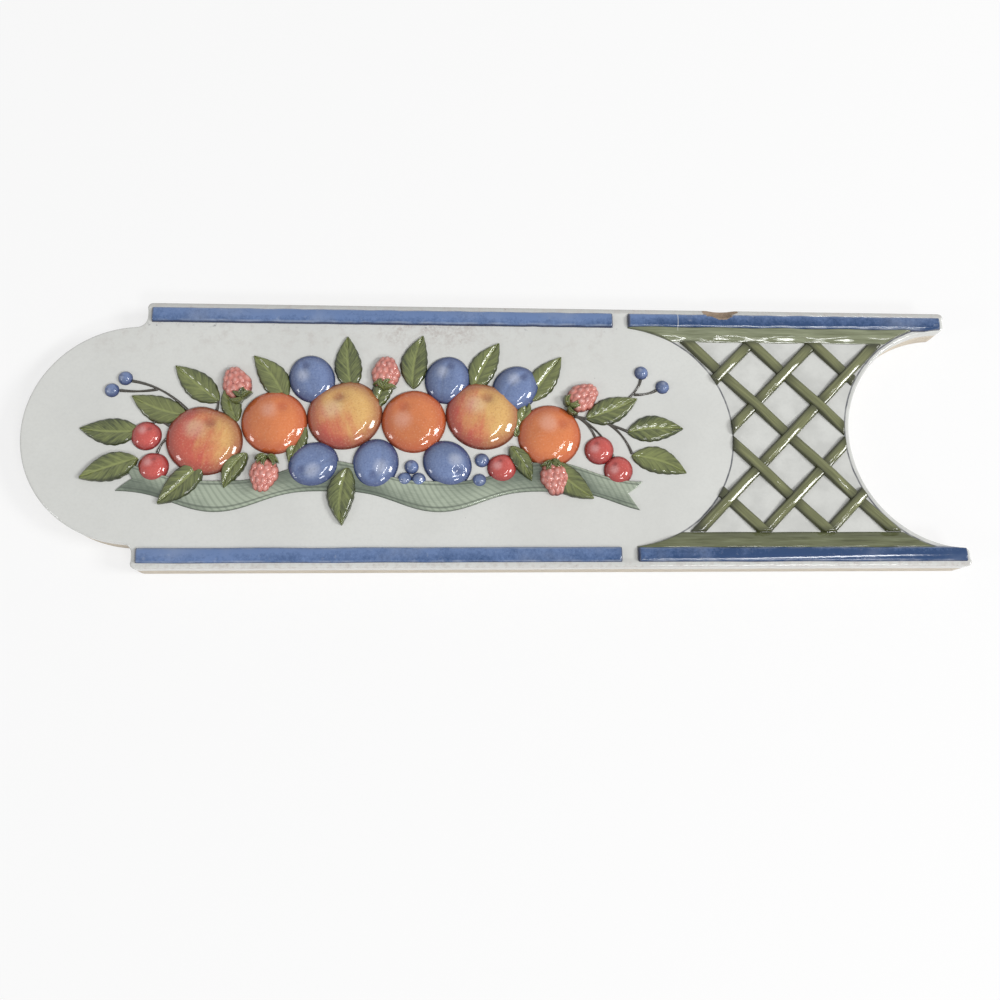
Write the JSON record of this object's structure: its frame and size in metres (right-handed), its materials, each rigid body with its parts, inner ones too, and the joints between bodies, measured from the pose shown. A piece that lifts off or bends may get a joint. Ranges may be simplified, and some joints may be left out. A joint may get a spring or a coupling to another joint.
{
  "type": "border tile",
  "caption": "Long glazed ceramic border tile with a round end and a hollow end, raised blue edge stripes, a fruit garland in relief and a woven green trellis.",
  "frame": {"origin": "centre of the bounding box on the back face, where the tile lies flat", "axes": "+X runs along the tile from the round end to the hollow end, +Y is the picture's upward way, +Z points out of the glazed face"},
  "size_m": [0.2258, 0.065, 0.0108],
  "materials": {
    "glazed_tile": "gloss glaze over a fired white body"
  },
  "bodies": {
    "root": {"border_tile": "glazed_tile"}
  },
  "joints": []
}
